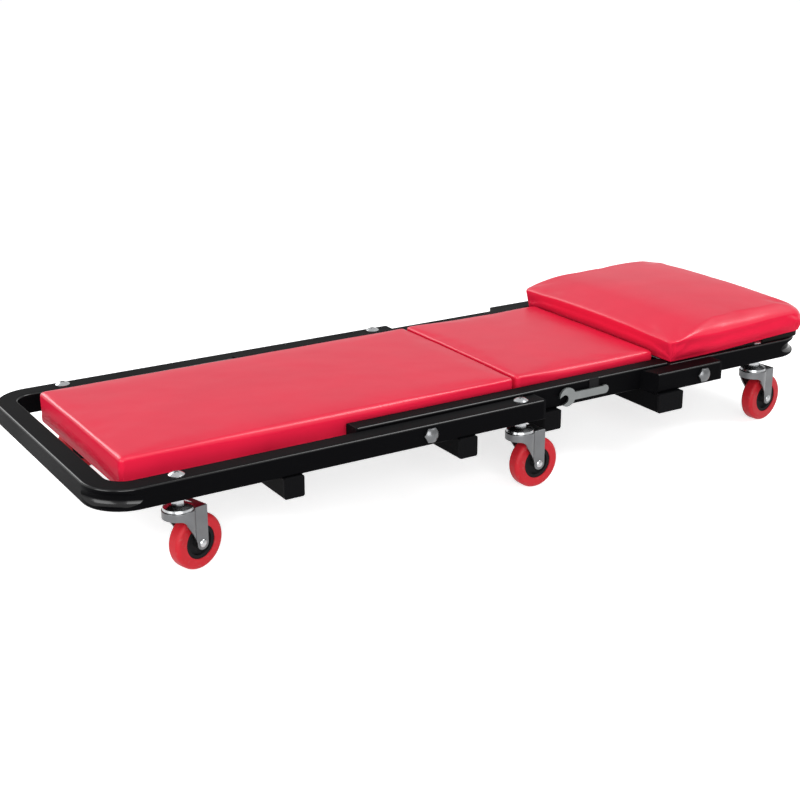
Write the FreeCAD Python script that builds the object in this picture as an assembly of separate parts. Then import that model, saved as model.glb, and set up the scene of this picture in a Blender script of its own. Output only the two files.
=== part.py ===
import FreeCAD, Part
import math
import os

# Rolling creeper that folds up into a stool: a base frame on four casters, a middle frame
# hinged to it, and a head frame on two casters that is hinged to the middle frame.
# Frame: +X towards the head end, +Y to the left, +Z up, origin on the floor under the centre.
# All lengths are millimetres, all angles degrees.

V = FreeCAD.Vector
ORIGIN = V(0, 0, 0)
X_AXIS = V(1, 0, 0)
Y_AXIS = V(0, 1, 0)
Z_AXIS = V(0, 0, 1)
SIDES = (1, -1)

# Whole object
frame_length = 1028.0
base_width = 370.0
caster_height = 87.5

# Square steel tube and its bends
tube = 25.0
tube_wall = 1.5
tube_corner = 2.5
bend_radius = 35.0
groove_depth = 6.0
groove_radius = 9.0
groove_sweep = 80.0
groove_span = 78.0

# Middle rails, a deeper and narrower tube
middle_rail_width = 22.0
middle_rail_height = 28.0

# Places along the length
foot_caster_inset = 91.3
middle_caster_from_hinge = 135.0
rail_overrun = 25.0
head_reach = 213.3
middle_tail = 81.0
foot_bar_from_caster = 130.0
middle_bar_inset = 28.5
arm_back = 83.5
arm_front = 28.0
arm_bevel = 8.0
head_caster_inset = 86.7

# Folding
fold_angle = 122.0
stop_clearance = 0.4
rest_gap = 0.3
hinge_gap = 1.0
tail_relief = 2.0
tail_clearance = 1.5

# Cross bars, measured from the tube face that they reach past
base_bar_reach = -1.0
middle_bar_reach = 4.5
seat_bar_reach = 2.7
seat_bar_width = 40.0
head_bar = 17.0
head_bar_from_hinge = 13.0

# Plastic tube plugs
plug_flange = 3.0
plug_stub = 14.0
plug_clearance = 0.1

# Hinge bolts
hinge_bolt = 10.0
hinge_head_flats = 17.0
hinge_head_height = 6.4
hinge_nut_height = 5.0
hinge_washer = 20.0
hinge_washer_thickness = 0.8
bush_wall = 2.0
running_clearance = 0.06
fit_clearance = 0.1

# Pads
board_thickness = 10.0
board_inset = 4.0
foot_gap = 21.0
pad_side_gap = 9.0
middle_pad_length = 219.0
pad_gap = 3.0
seat_gap = 6.5
head_pad_overhang = 30.2
pad_past_caster = 22.3
head_pad_inset = 2.0
back_pad_edge = 35.5
middle_pad_edge = 35.5
head_pad_edge = 27.0
pad_crown_along = 1.5
pad_crown_across = 2.5
head_crown_along = 17.0
head_crown_across = 5.0
pad_shoulder = 5.0
head_pad_shoulder = 10.0
pad_corner = 7.0
head_pad_corner = 18.0
pad_tuck = 1.5
pad_waist = 1.0

# Pad screws
screw = 5.0
screw_head = 10.0
screw_head_height = 2.6
screw_bite = 8.0
screw_side = 80.0
head_screw_from_hinge = 72.0
head_screw_from_end = 60.0

# Caster bolts, nuts and swivel races
king_bolt = 8.0
king_head = 17.6
king_head_height = 4.2
king_recess = 7.0
king_recess_width = 1.6
king_recess_depth = 2.0
nut_flats = 13.0
nut_height = 6.5
lock_nut_height = 5.0
bolt_past_nut = 1.5
race_radius = 17.0
race_height = 5.8
race_neck = 9.0
race_sheet = 1.4
race_gap = 0.4
ball = 3.2
ball_circle = 11.0
ball_count = 8
ball_clearance = 0.05
pocket_clearance = 1.0

# Forks, axles and wheels
fork_sheet = 2.3
fork_gap = 21.0
crown_radius = 18.0
crown_edge = 1.0
caster_trail = 21.0
fork_boss = 7.5
skirt_depth = 9.0
fork_nut_gap = 0.3
axle = 6.0
axle_head = 9.0
axle_head_height = 2.6
wheel_diameter = 63.5
tread_width = 18.0
tread_round = 5.0
hub_diameter = 38.5
hub_rim = 4.0
hub_recess = 1.2
hub_web = 7.0
hub_boss = 14.0
boss_clearance = 0.3

# Swivel angles of the casters as they stand
HEADINGS = {
    "foot_left": 9.0,
    "foot_right": 16.0,
    "middle_left": 4.0,
    "middle_right": 2.0,
    "head_left": 6.0,
    "head_right": 8.0,
}

# Wrench and its holder
wrench_head = 12.0
wrench_jaw = 11.0
wrench_jaw_depth = 7.0
wrench_jaw_angle = 25.0
wrench_grip = 10.0
wrench_length = 58.0
wrench_tail = 5.5
wrench_sheet = 3.0
wrench_from_hinge = 213.0
holder_width = 14.0
holder_sheet = 1.5
holder_drop = 19.0
holder_along = 36.0

# Levels and places that follow from the sizes above
foot_end = -frame_length / 2
head_end = frame_length / 2
rail_bottom = caster_height
rail_top = rail_bottom + tube
hinge_z = rail_bottom + tube / 2
middle_bottom = rail_bottom + rest_gap
seat_hinge_x = head_end - head_reach
head_pad_end = head_end - head_pad_inset
head_pad_start = seat_hinge_x - head_pad_overhang
middle_pad_end = head_pad_start - seat_gap
middle_pad_start = middle_pad_end - middle_pad_length
back_pad_end = middle_pad_start - pad_gap
back_pad_start = foot_end + tube + foot_gap
foot_caster_x = foot_end + foot_caster_inset
middle_caster_x = back_pad_end - pad_past_caster
base_rail_end = middle_caster_x + rail_overrun
fold_hinge_x = middle_caster_x - middle_caster_from_hinge
head_caster_x = head_end - head_caster_inset
base_rail_y = base_width / 2 - tube / 2
base_rail_inner = base_rail_y - tube / 2
middle_rail_outer = base_rail_inner - hinge_gap
middle_rail_y = middle_rail_outer - middle_rail_width / 2
arm_y = middle_rail_outer + tube / 2
head_rail_outer = middle_rail_outer - hinge_gap
head_rail_y = head_rail_outer - tube / 2


def stop_offset(lift, drop):
    """Distance from a hinge to the face of the bar that the folded rail comes to rest on."""
    angle = math.radians(fold_angle)
    return (lift + stop_clearance - drop * math.cos(angle)) / math.sin(angle)


fold_stop_x = fold_hinge_x + stop_offset(hinge_z - middle_bottom, hinge_z - rail_bottom + tube)
seat_stop = stop_offset(hinge_z - rail_bottom, hinge_z - middle_bottom + tube)
seat_stop_x = seat_hinge_x - seat_stop
head_tail = seat_stop - tail_relief
head_rail_start = seat_hinge_x - head_tail + plug_flange
tail_sweep = math.hypot(head_tail, tube / 2)
middle_rail_start = fold_hinge_x - middle_tail
middle_rail_end = seat_hinge_x - tail_sweep - tail_clearance

pad_width = 2 * (middle_rail_outer - middle_rail_width - pad_side_gap)
head_pad_width = 2 * head_rail_outer

foot_bar_x = foot_caster_x + foot_bar_from_caster
stop_bar_x = fold_stop_x + tube / 2
middle_bar_x = middle_pad_start + middle_bar_inset
seat_bar_x = seat_stop_x - seat_bar_width / 2
base_bar_half = base_rail_y + tube / 2 + base_bar_reach
middle_bar_half = middle_rail_outer + middle_bar_reach
seat_bar_half = arm_y + tube / 2 + seat_bar_reach

axle_z = wheel_diameter / 2
race_bottom = -nut_height - race_height
crown_top = race_bottom - race_gap
CASTERS = {
    "foot_left": (foot_caster_x, base_rail_y),
    "foot_right": (foot_caster_x, -base_rail_y),
    "middle_left": (middle_caster_x, base_rail_y),
    "middle_right": (middle_caster_x, -base_rail_y),
    "head_left": (head_caster_x, head_rail_y),
    "head_right": (head_caster_x, -head_rail_y),
}
BASE_CASTERS = ("foot_left", "foot_right", "middle_left", "middle_right")
HEAD_CASTERS = ("head_left", "head_right")


def rounded_rect(centre, across, up, width, height, radius):
    """Closed wire of a rectangle with rounded corners."""
    corners = ((1, 1), (-1, 1), (-1, -1), (1, -1))
    inner_w = width / 2 - radius
    inner_h = height / 2 - radius
    diagonal = radius * math.sqrt(0.5)
    arcs = []
    for index, (sx, sy) in enumerate(corners):
        hub = centre + across * (sx * inner_w) + up * (sy * inner_h)
        side = hub + across * (sx * radius)
        cap = hub + up * (sy * radius)
        middle = hub + across * (sx * diagonal) + up * (sy * diagonal)
        ends = (side, middle, cap) if index % 2 == 0 else (cap, middle, side)
        arcs.append(ends)
    edges = []
    for index, ends in enumerate(arcs):
        edges.append(Part.Arc(*ends).toShape())
        edges.append(Part.LineSegment(ends[2], arcs[(index + 1) % 4][0]).toShape())
    return Part.Wire(edges)


def straight_tube(start, end, across, width, height):
    """Open-ended rectangular tube from one point to another, level with the floor."""
    run = end - start
    outer = rounded_rect(start, across, Z_AXIS, width, height, tube_corner)
    inner = rounded_rect(start, across, Z_AXIS, width - 2 * tube_wall, height - 2 * tube_wall,
                         tube_corner - tube_wall)
    return Part.Face(outer).extrude(run).cut(Part.Face(inner).extrude(run))


def bend_centre(closed_end, heading, rail_y, side):
    reach = bend_radius + tube / 2
    return V(closed_end - heading * reach, side * (rail_y - bend_radius), hinge_z)


def groove_cutter(closed_end, heading, rail_y, side, radius):
    """Ring segment that presses the outer wall of a bend in, deepest at its middle."""
    centre = bend_centre(closed_end, heading, rail_y, side)
    outward = V(heading, side, 0).normalize()
    reach = bend_radius + tube / 2 + groove_radius - groove_depth - groove_sweep
    ring = Part.Face(Part.Wire(Part.Circle(V(groove_sweep, 0, 0), Y_AXIS, radius).toShape()))
    ring = ring.revolve(ORIGIN, Z_AXIS, groove_span)
    turn = math.degrees(math.atan2(outward.y, outward.x)) - groove_span / 2
    ring.rotate(ORIGIN, Z_AXIS, turn)
    ring.translate(centre + outward * reach)
    return ring


def u_path(open_end, closed_end, heading, rail_y):
    """Centre line of a U: a rail, a bend, the end run, a bend and the other rail."""
    right = bend_centre(closed_end, heading, rail_y, -1)
    left = bend_centre(closed_end, heading, rail_y, 1)
    cut = bend_radius * math.sqrt(0.5)
    points = [
        V(open_end, -rail_y, hinge_z),
        V(right.x, -rail_y, hinge_z),
        right + V(heading * cut, -cut, 0),
        right + V(heading * bend_radius, 0, 0),
        left + V(heading * bend_radius, 0, 0),
        left + V(heading * cut, cut, 0),
        V(left.x, rail_y, hinge_z),
        V(open_end, rail_y, hinge_z),
    ]
    return Part.Wire([
        Part.LineSegment(points[0], points[1]).toShape(),
        Part.Arc(points[1], points[2], points[3]).toShape(),
        Part.LineSegment(points[3], points[4]).toShape(),
        Part.Arc(points[4], points[5], points[6]).toShape(),
        Part.LineSegment(points[6], points[7]).toShape(),
    ])


def bent_tube(open_end, closed_end, heading, rail_y):
    """Hollow U tube whose bends carry a pressed groove on the outside."""
    start = V(open_end, -rail_y, hinge_z)
    path = u_path(open_end, closed_end, heading, rail_y)
    bore = tube - 2 * tube_wall
    skin = rounded_rect(start, Y_AXIS, Z_AXIS, tube, tube, tube_corner)
    core = rounded_rect(start, Y_AXIS, Z_AXIS, bore, bore, tube_corner - tube_wall)
    skin = path.makePipeShell([skin], True, False)
    core = path.makePipeShell([core], True, False)
    for side in SIDES:
        skin = skin.cut(groove_cutter(closed_end, heading, rail_y, side, groove_radius))
        core = core.cut(groove_cutter(closed_end, heading, rail_y, side,
                                      groove_radius + tube_wall))
    return skin.cut(core)


def drill(shape, centre, axis, diameter, depth):
    """Round hole centred on a point, reaching half its depth each way."""
    return shape.cut(Part.makeCylinder(diameter / 2, depth, centre - axis * (depth / 2), axis))


def plug(face, outward, across, width, height):
    """Square cap with a stub that fills the end of a tube."""
    flange = Part.Face(rounded_rect(face, across, Z_AXIS, width, height, tube_corner))
    flange = flange.extrude(outward * plug_flange)
    trim = 2 * (tube_wall + plug_clearance)
    stub = rounded_rect(face, across, Z_AXIS, width - trim, height - trim,
                        tube_corner - tube_wall)
    return flange.fuse(Part.Face(stub).extrude(outward * -plug_stub)).removeSplitter()


def hex_prism(centre, axis, flats, height):
    """Hexagonal prism that stands on a point along an axis."""
    prism = Part.makeBox(flats / math.sqrt(3), flats, height,
                         V(-flats / math.sqrt(12), -flats / 2, 0))
    for turn in (60, 120):
        slab = Part.makeBox(flats / math.sqrt(3), flats, height,
                            V(-flats / math.sqrt(12), -flats / 2, 0))
        slab.rotate(ORIGIN, Z_AXIS, turn)
        prism = prism.fuse(slab)
    prism = prism.removeSplitter()
    prism.Placement = FreeCAD.Placement(centre, FreeCAD.Rotation(Z_AXIS, axis))
    return prism


def ring(centre, axis, outer, inner, height):
    disc = Part.makeCylinder(outer / 2, height, centre, axis)
    return disc.cut(Part.makeCylinder(inner / 2, height, centre, axis))


def dome(centre, axis, diameter, height):
    """Shallow round head standing on a point along an axis."""
    radius = diameter / 2
    rim = height * 0.25
    sphere = (radius ** 2 + (height - rim) ** 2) / (2 * (height - rim))
    lean = math.asin(radius / sphere) / 2
    middle = V(sphere * math.sin(lean), 0, height - sphere * (1 - math.cos(lean)))
    outline = Part.Wire([
        Part.LineSegment(V(0, 0, 0), V(radius, 0, 0)).toShape(),
        Part.LineSegment(V(radius, 0, 0), V(radius, 0, rim)).toShape(),
        Part.Arc(V(radius, 0, rim), middle, V(0, 0, height)).toShape(),
        Part.LineSegment(V(0, 0, height), V(0, 0, 0)).toShape(),
    ])
    head = Part.Face(outline).revolve(ORIGIN, Z_AXIS, 360)
    head.Placement = FreeCAD.Placement(centre, FreeCAD.Rotation(Z_AXIS, axis))
    return head


def turned(points):
    """Solid of revolution about Z from (radius, height) corners."""
    corners = [V(radius, 0, height) for radius, height in points]
    outline = Part.makePolygon(corners + corners[:1])
    return Part.Face(outline).revolve(ORIGIN, Z_AXIS, 360)


def group(solids):
    return Part.makeCompound(list(solids))


def cushion_section(x, half, bottom, top, rise, shoulder):
    """Outline across a cushion: drawn-in sides, round shoulders and a crowned top."""
    cut = shoulder * (1 - math.sqrt(0.5))
    base = half - pad_tuck
    points = [
        V(x, -base, bottom),
        V(x, base, bottom),
        V(x, half, top - shoulder),
        V(x, half - cut, top - cut),
        V(x, half - shoulder, top),
        V(x, 0, top + rise),
        V(x, -half + shoulder, top),
        V(x, -half + cut, top - cut),
        V(x, -half, top - shoulder),
    ]
    return Part.Wire([
        Part.LineSegment(points[0], points[1]).toShape(),
        Part.LineSegment(points[1], points[2]).toShape(),
        Part.Arc(points[2], points[3], points[4]).toShape(),
        Part.Arc(points[4], points[5], points[6]).toShape(),
        Part.Arc(points[6], points[7], points[8]).toShape(),
        Part.LineSegment(points[8], points[0]).toShape(),
    ])


def cushion(start, end, width, bottom, edge, along, across, shoulder, corner):
    """Upholstered pad whose cover is drawn round its board and swells along and across."""
    length = end - start
    near = [corner * (1 - math.cos(math.radians(angle))) for angle in (0, 22, 45, 68, 90)]
    inner = [corner + (length - 2 * corner) * step / 6 for step in range(1, 6)]
    stations = near + inner + [length - value for value in reversed(near)]
    sections = []
    for place in stations:
        inset = min(place, length - place)
        bend = max(0.0, corner - inset)
        round_in = corner - math.sqrt(corner ** 2 - bend ** 2)
        fall = min(1.0, bend / corner)
        lower = shoulder * (1 - math.sqrt(1 - fall ** 2))
        swell = 1 - (2 * place / length - 1) ** 2
        half = width / 2 - round_in * 0.5 - pad_waist * swell
        top = bottom + edge + along * swell - lower
        sections.append(cushion_section(start + place, half, bottom, top,
                                        across * (0.5 + 0.5 * swell), shoulder))
    return Part.makeLoft(sections, True, True)


def board(start, end, width, bottom):
    return Part.makeBox(end - start - 2 * board_inset, width - 2 * (board_inset + pad_tuck + pad_waist),
                        board_thickness,
                        V(start + board_inset, -width / 2 + board_inset + pad_tuck + pad_waist, bottom))


def rounded_end(plank, radius):
    """Rounds the two upright corners at the head end of a board."""
    far = plank.BoundBox.XMax
    corners = [edge for edge in plank.Edges if edge.BoundBox.XMin > far - 0.01
               and edge.BoundBox.ZLength > edge.BoundBox.YLength]
    return plank.makeFillet(radius, corners)


def wood_screw(x, y, bottom, top):
    """Pan-head screw driven up from below."""
    shank = Part.makeCylinder(screw / 2, top - bottom, V(x, y, bottom), Z_AXIS)
    return shank.fuse(dome(V(x, y, bottom), -Z_AXIS, screw_head, screw_head_height))


def cross_bar(x, half, top, width=tube):
    centre = top - tube / 2
    return straight_tube(V(x, -half, centre), V(x, half, centre), X_AXIS, width, tube)


def bar_plugs(x, half, top, width=tube):
    centre = top - tube / 2
    return [plug(V(x, side * half, centre), Y_AXIS * side, X_AXIS, width, tube) for side in SIDES]


def hinge_bolt_set(x, outer_face, inner_face):
    """Hex bolts, and the washers and nuts on them, for the two sides of one hinge."""
    bolts = []
    fixings = []
    for side in SIDES:
        out = Y_AXIS * side
        reach = outer_face - inner_face + rest_gap + hinge_nut_height
        head = hex_prism(V(x, side * outer_face, hinge_z), out, hinge_head_flats, hinge_head_height)
        head = head.common(dome(V(x, side * outer_face, hinge_z), out,
                                hinge_head_flats * 1.16, hinge_head_height))
        shank = Part.makeCylinder(hinge_bolt / 2, reach, V(x, side * outer_face, hinge_z), -out)
        bolts.append(head.fuse(shank).removeSplitter())
        nut = hex_prism(V(x, side * (inner_face - rest_gap), hinge_z), -out,
                        hinge_head_flats, hinge_nut_height)
        fixings.append(drill(nut, V(x, side * inner_face, hinge_z), Y_AXIS,
                             hinge_bolt + fit_clearance, 4 * hinge_nut_height))
    return bolts, fixings


def hinge_washers(x, seat_face):
    return [ring(V(x, side * seat_face, hinge_z), Y_AXIS * -side, hinge_washer,
                 hinge_bolt + 2 * running_clearance, hinge_washer_thickness) for side in SIDES]


def hinge_bushes(x, rail_y, width):
    """Sleeves that carry the bolt through the hollow of the turning rail."""
    bore = hinge_bolt + 2 * running_clearance
    return [ring(V(x, side * rail_y - width / 2, hinge_z), Y_AXIS, bore + 2 * bush_wall,
                 bore, width) for side in SIDES]


def king_bolt_solid(x, y):
    """Caster bolt: domed head with a crossed recess on the rail, shank down to the lock nut."""
    head = dome(V(x, y, rail_top), Z_AXIS, king_head, king_head_height)
    floor = rail_top + king_head_height - king_recess_depth
    for turn in (0, 90):
        slot = Part.makeBox(king_recess, king_recess_width, 2 * king_recess_depth,
                            V(-king_recess / 2, -king_recess_width / 2, floor))
        slot.rotate(ORIGIN, Z_AXIS, turn + 30)
        slot.translate(V(x, y, 0))
        head = head.cut(slot)
    low = crown_top - fork_sheet - fork_nut_gap - lock_nut_height - bolt_past_nut
    shank = Part.makeCylinder(king_bolt / 2, tube - low, V(x, y, rail_bottom + low), Z_AXIS)
    return head.fuse(shank).removeSplitter()


def caster_nuts(x, y):
    bore = king_bolt + 2 * fit_clearance
    upper = hex_prism(V(x, y, rail_bottom), -Z_AXIS, nut_flats, nut_height)
    seat = rail_bottom + crown_top - fork_sheet - fork_nut_gap
    lower = hex_prism(V(x, y, seat), -Z_AXIS, nut_flats, lock_nut_height)
    return [drill(nut, V(x, y, seat), Z_AXIS, bore, 2 * caster_height) for nut in (upper, lower)]


def caster_race(x, y):
    """Pressed upper race that covers the balls."""
    bore = king_bolt / 2 + fit_clearance
    roof = crown_top + ball + 2 * ball_clearance
    lip = race_radius - race_sheet
    slope = race_bottom + race_height * 0.45
    race = turned([(bore, -nut_height), (race_neck, -nut_height),
                   (race_radius - race_sheet / 2, slope), (race_radius, race_bottom),
                   (lip, race_bottom), (ball_circle + ball, roof), (bore, roof)])
    race.translate(V(x, y, rail_bottom))
    return race


def caster_balls(x, y):
    balls = []
    level = rail_bottom + crown_top + ball / 2 + ball_clearance
    for index in range(ball_count):
        angle = 2 * math.pi * index / ball_count
        centre = V(x + ball_circle * math.cos(angle), y + ball_circle * math.sin(angle), level)
        balls.append(Part.makeSphere(ball / 2, centre))
    return balls


def placed(shape, name):
    """Turn a caster piece to its heading and hang it under its rail."""
    x, y = CASTERS[name]
    shape.rotate(ORIGIN, Z_AXIS, HEADINGS[name])
    shape.translate(V(x, y, rail_bottom))
    return shape


def fork_outline(radius, half, back):
    """Round crown in plan that runs back into two parallel cheeks."""
    meet = math.sqrt(radius ** 2 - half ** 2)
    return Part.Wire([
        Part.Arc(V(meet, -half, 0), V(-radius, 0, 0), V(meet, half, 0)).toShape(),
        Part.LineSegment(V(meet, half, 0), V(back, half, 0)).toShape(),
        Part.LineSegment(V(back, half, 0), V(back, -half, 0)).toShape(),
        Part.LineSegment(V(back, -half, 0), V(meet, -half, 0)).toShape(),
    ])


def fork(name):
    """Stamped fork: a crown with a short skirt in front and cheeks that run down to the axle."""
    drop = axle_z - caster_height
    back = caster_trail + fork_boss
    half = fork_gap / 2 + fork_sheet
    low = drop - fork_boss
    body = Part.Face(fork_outline(crown_radius, half, back))
    body.translate(V(0, 0, crown_top))
    body = body.extrude(V(0, 0, low - crown_top))
    rim = [edge for edge in body.Edges if edge.BoundBox.ZMin > crown_top - 0.001]
    body = body.makeFillet(crown_edge, rim)
    hollow = Part.Face(fork_outline(crown_radius - fork_sheet, fork_gap / 2, back + fork_boss))
    hollow.translate(V(0, 0, crown_top - fork_sheet))
    body = body.cut(hollow.extrude(V(0, 0, low - crown_top)))
    skirt = crown_top - skirt_depth
    front = -crown_radius - fork_sheet
    knee = V(-crown_radius * 0.1, 0, skirt - fork_boss)
    tangent = V(caster_trail - fork_boss * 0.96, 0, drop + fork_boss * 0.28)
    side = Part.Wire([
        Part.LineSegment(V(front, 0, crown_top + fork_sheet), V(front, 0, skirt)).toShape(),
        Part.LineSegment(V(front, 0, skirt), V(-crown_radius * 0.55, 0, skirt)).toShape(),
        Part.Arc(V(-crown_radius * 0.55, 0, skirt),
                 V(-crown_radius * 0.25, 0, skirt - fork_boss * 0.35), knee).toShape(),
        Part.LineSegment(knee, tangent).toShape(),
        Part.Arc(tangent, V(caster_trail, 0, low), V(back, 0, drop)).toShape(),
        Part.LineSegment(V(back, 0, drop), V(back, 0, crown_top + fork_sheet)).toShape(),
        Part.LineSegment(V(back, 0, crown_top + fork_sheet),
                         V(front, 0, crown_top + fork_sheet)).toShape(),
    ])
    keep = Part.Face(side)
    keep.translate(V(0, -2 * crown_radius, 0))
    body = body.common(keep.extrude(V(0, 4 * crown_radius, 0)))
    body = drill(body, V(0, 0, crown_top), Z_AXIS, king_bolt + 2 * running_clearance, fork_gap)
    body = drill(body, V(caster_trail, 0, drop), Y_AXIS, axle + fit_clearance, 2 * fork_gap)
    return placed(body, name)


def wheel_axle(name):
    half = fork_gap / 2 + fork_sheet
    centre = V(caster_trail, 0, axle_z - caster_height)
    pin = Part.makeCylinder(axle / 2, 2 * half, centre - Y_AXIS * half, Y_AXIS)
    for side in SIDES:
        pin = pin.fuse(dome(centre + Y_AXIS * (side * half), Y_AXIS * side,
                            axle_head, axle_head_height))
    return placed(pin.removeSplitter(), name)


def on_axle(shape, name):
    shape.rotate(ORIGIN, X_AXIS, 90)
    shape.translate(V(caster_trail, 0, axle_z - caster_height))
    return placed(shape, name)


def tread(name):
    outer = wheel_diameter / 2
    inner = hub_diameter / 2
    half = tread_width / 2
    tyre = Part.makeCylinder(outer, tread_width, V(0, 0, -half), Z_AXIS)
    rims = [edge for edge in tyre.Edges if edge.Closed]
    tyre = tyre.makeFillet(tread_round, rims)
    return on_axle(tyre.cut(Part.makeCylinder(inner, tread_width, V(0, 0, -half), Z_AXIS)), name)


def hub(name):
    bore = axle / 2 + running_clearance
    rim = hub_diameter / 2
    half = tread_width / 2 - hub_recess
    boss = fork_gap / 2 - boss_clearance
    web = hub_web / 2
    return on_axle(turned([(bore, -boss), (hub_boss / 2, -boss), (hub_boss / 2, -web),
                           (rim - hub_rim, -web), (rim - hub_rim, -half), (rim, -half), (rim, half),
                           (rim - hub_rim, half), (rim - hub_rim, web), (hub_boss / 2, web),
                           (hub_boss / 2, boss), (bore, boss)]), name)


def hinge_arm(side):
    """Short tube welded outside the middle rail, bevelled back and closed at its rail end."""
    start = seat_hinge_x - arm_back
    centre = middle_bottom + tube / 2
    arm = straight_tube(V(start, side * arm_y, centre),
                        V(seat_hinge_x + arm_front, side * arm_y, centre), Y_AXIS, tube, tube)
    inner = side * (arm_y - tube / 2)
    outer = side * (arm_y + tube / 2)
    rise = V(0, 0, 2 * caster_height)
    bevel = Part.makePolygon([V(start, inner, 0), V(start, outer, 0),
                              V(start + arm_bevel, outer, 0), V(start, inner, 0)])
    plate = Part.makePolygon([V(start, inner, 0), V(start + arm_bevel, outer, 0),
                              V(start + arm_bevel + tube_wall, outer, 0),
                              V(start + tube_wall, inner, 0), V(start, inner, 0)])
    block = rounded_rect(V(start, side * arm_y, centre), Y_AXIS, Z_AXIS, tube, tube, tube_corner)
    block = Part.Face(block).extrude(X_AXIS * (arm_bevel + tube))
    arm = arm.cut(Part.Face(bevel).extrude(rise))
    arm = arm.fuse(Part.Face(plate).extrude(rise).common(block)).removeSplitter()
    return drill(arm, V(seat_hinge_x, side * arm_y, hinge_z), Y_AXIS,
                 hinge_bolt + 2 * fit_clearance, 2 * tube)


def wrench_solid():
    """Flat spanner: an open jaw at one end and a small hooked tail at the other."""
    centre = V(fold_hinge_x + wrench_from_hinge, 0, hinge_z)
    face = -(middle_rail_outer + holder_sheet + rest_gap)
    grip = Part.makeBox(wrench_length, wrench_sheet, wrench_grip,
                        V(0, -wrench_sheet, -wrench_grip / 2))
    head = Part.makeCylinder(wrench_head, wrench_sheet, ORIGIN, -Y_AXIS)
    tail = Part.makeCylinder(wrench_tail, wrench_sheet, V(wrench_length, 0, wrench_tail - wrench_grip / 2),
                             -Y_AXIS)
    slot = Part.makeBox(2 * wrench_head, 3 * wrench_sheet, wrench_jaw,
                        V(-2 * wrench_head, -2 * wrench_sheet, -wrench_jaw / 2))
    throat = Part.makeCylinder(wrench_jaw / 2, 3 * wrench_sheet, V(0, wrench_sheet, 0), -Y_AXIS)
    slot = slot.fuse(throat)
    slot.translate(V(wrench_jaw_depth - wrench_head, 0, 0))
    slot.rotate(ORIGIN, Y_AXIS, -wrench_jaw_angle)
    body = grip.fuse([head, tail]).cut(slot).removeSplitter()
    body.translate(centre + V(0, face, 0))
    return body


def wrench_holder():
    """Thin magnetic strip on the rail face that the wrench is parked against."""
    start = fold_hinge_x + wrench_from_hinge + holder_along
    top = middle_bottom + middle_rail_height
    return Part.makeBox(holder_width, holder_sheet, holder_drop,
                        V(start, -middle_rail_outer - holder_sheet, top - holder_drop))


def screw_places():
    """Where each pad's screws come up: through its two cross bars, or through the head rails."""
    back = [(x, side * screw_side) for x in (foot_bar_x, stop_bar_x) for side in SIDES]
    middle = [(x, side * screw_side) for x in (middle_bar_x, seat_bar_x) for side in SIDES]
    head_xs = (seat_hinge_x + head_screw_from_hinge, head_end - head_screw_from_end)
    head = [(x, side * head_rail_y) for x in head_xs for side in SIDES]
    return back, middle, head


def drill_screws(shape, places, level):
    for x, y in places:
        shape = drill(shape, V(x, y, level), Z_AXIS, screw + 2 * fit_clearance, 4 * tube)
    return shape


def build_base(parts, places):
    frame = bent_tube(base_rail_end, foot_end, -1, base_rail_y)
    for name in BASE_CASTERS:
        x, y = CASTERS[name]
        frame = drill(frame, V(x, y, hinge_z), Z_AXIS, king_bolt + 2 * fit_clearance, 2 * tube)
    for side in SIDES:
        frame = drill(frame, V(fold_hinge_x, side * base_rail_y, hinge_z), Y_AXIS,
                      hinge_bolt + 2 * fit_clearance, 2 * tube)
    parts["base_frame_tube"] = frame
    level = rail_bottom - tube / 2
    parts["base_foot_bar"] = drill_screws(cross_bar(foot_bar_x, base_bar_half, rail_bottom),
                                          places[:2], level)
    parts["base_stop_bar"] = drill_screws(cross_bar(stop_bar_x, base_bar_half, rail_bottom),
                                          places[2:], level)
    plugs = bar_plugs(foot_bar_x, base_bar_half, rail_bottom)
    plugs += bar_plugs(stop_bar_x, base_bar_half, rail_bottom)
    plugs += [plug(V(base_rail_end, side * base_rail_y, hinge_z), X_AXIS, Y_AXIS, tube, tube)
              for side in SIDES]
    parts["base_end_plugs"] = group(plugs)
    bolts, nuts = hinge_bolt_set(fold_hinge_x, base_rail_y + tube / 2,
                                 middle_rail_outer - middle_rail_width)
    parts["fold_hinge_bolts"] = group(bolts)
    parts["fold_hinge_nuts_washers"] = group(nuts + hinge_washers(fold_hinge_x, base_rail_inner))
    build_pad(parts, "back_pad", (back_pad_start, back_pad_end), rail_bottom, back_pad_edge, places)
    build_screws(parts, "back_pad", places, rail_bottom - tube, rail_bottom + screw_bite)


def build_pad(parts, name, span, bottom, edge, places):
    start, end = span
    plank = board(start, end, pad_width, bottom)
    soft = cushion(start, end, pad_width, bottom, edge, pad_crown_along, pad_crown_across,
                   pad_shoulder, pad_corner).cut(plank)
    parts[name + "_cushion"] = soft
    parts[name + "_board"] = bore_board(plank, places, bottom)


def bore_board(plank, places, bottom):
    for x, y in places:
        plank = drill(plank, V(x, y, bottom), Z_AXIS, screw + 2 * fit_clearance,
                      2 * (screw_bite + fit_clearance))
    return plank


def build_screws(parts, name, places, bottom, top):
    parts[name + "_screws"] = group([wood_screw(x, y, bottom, top) for x, y in places])


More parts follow.
